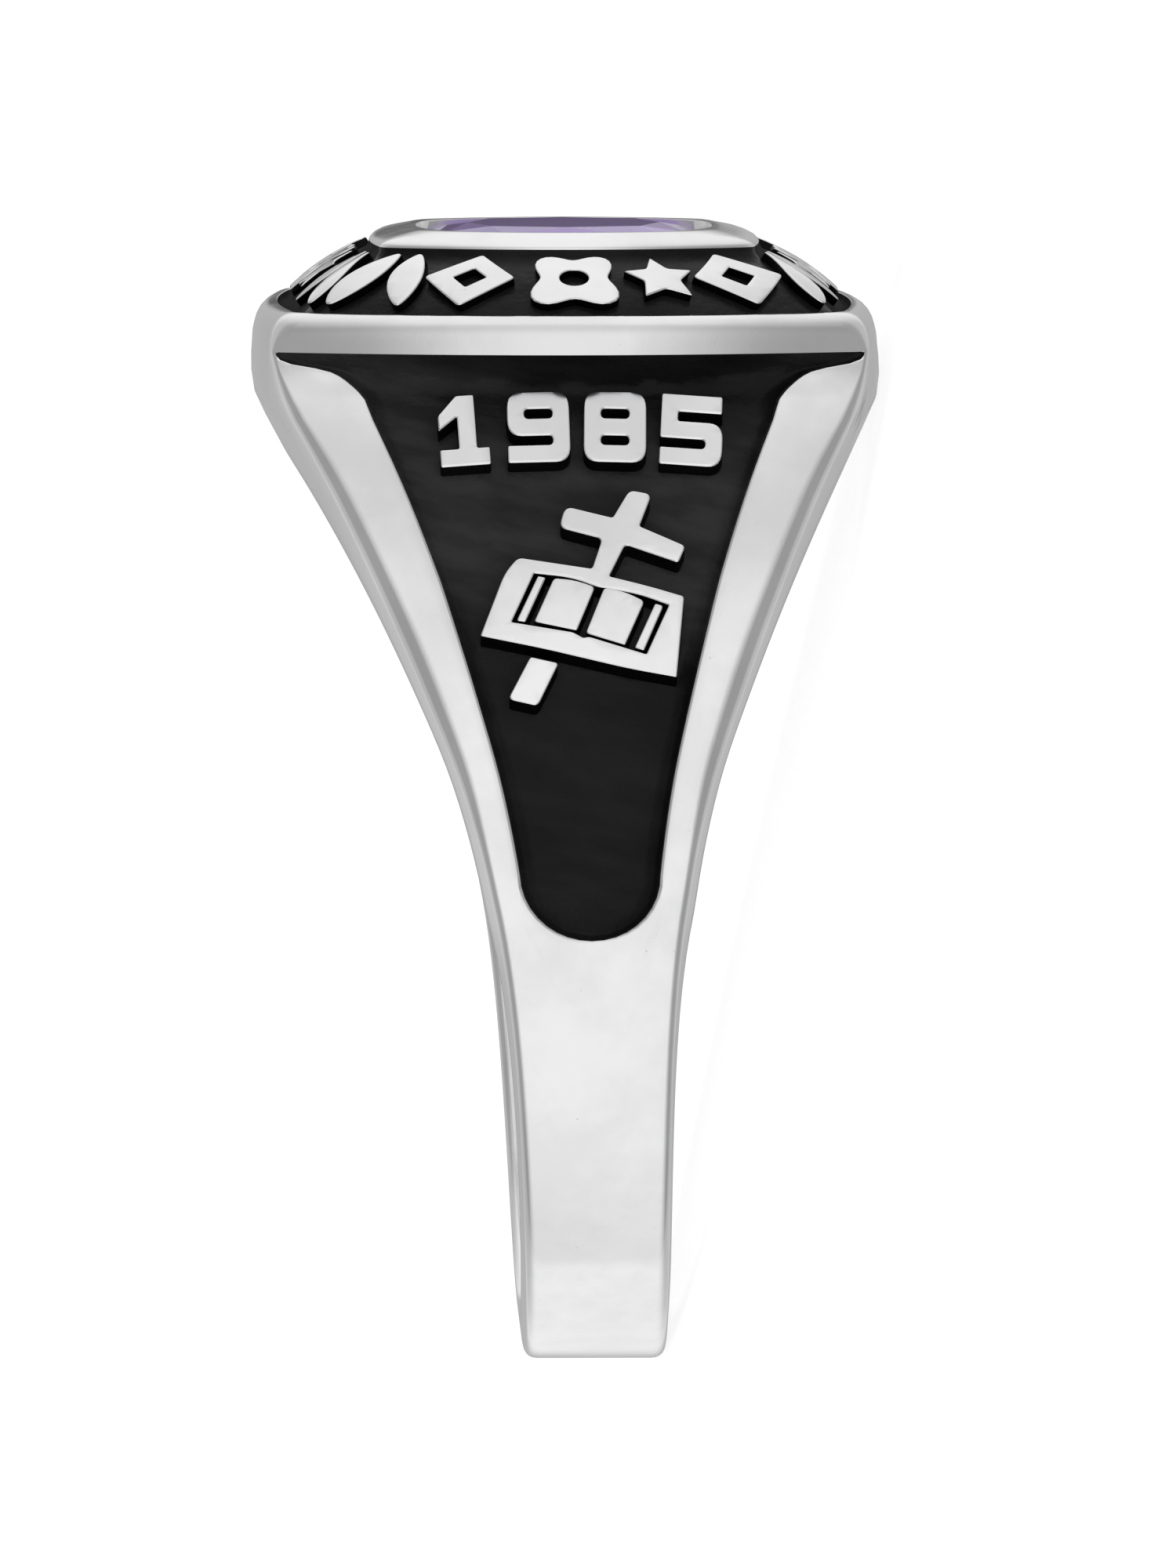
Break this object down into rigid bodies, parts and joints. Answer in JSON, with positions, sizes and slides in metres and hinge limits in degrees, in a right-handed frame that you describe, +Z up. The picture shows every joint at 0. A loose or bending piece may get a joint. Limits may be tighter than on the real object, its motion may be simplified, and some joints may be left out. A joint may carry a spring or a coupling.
{
  "type": "class ring",
  "caption": "Polished cast signet-style class ring with a violet cushion-cut stone, a black channel of raised ornaments and black side panels with raised relief.",
  "frame": {"origin": "on the floor, under the centre of the lying ring's bounding box", "axes": "the ring lies on its side: +X from the palm side of the shank to the stone, +Z up, the finger axis leaning in the X-Z plane"},
  "size_m": [0.0282, 0.024, 0.0152],
  "materials": {
    "silver": "polished cast silver",
    "violet_stone": "faceted and polished",
    "black_enamel": "glossy, slightly uneven"
  },
  "bodies": {
    "root": {"ring_body": "silver", "stone": "violet_stone", "front_enamel": "black_enamel", "back_enamel": "black_enamel", "bezel_enamel": "black_enamel"}
  },
  "joints": []
}
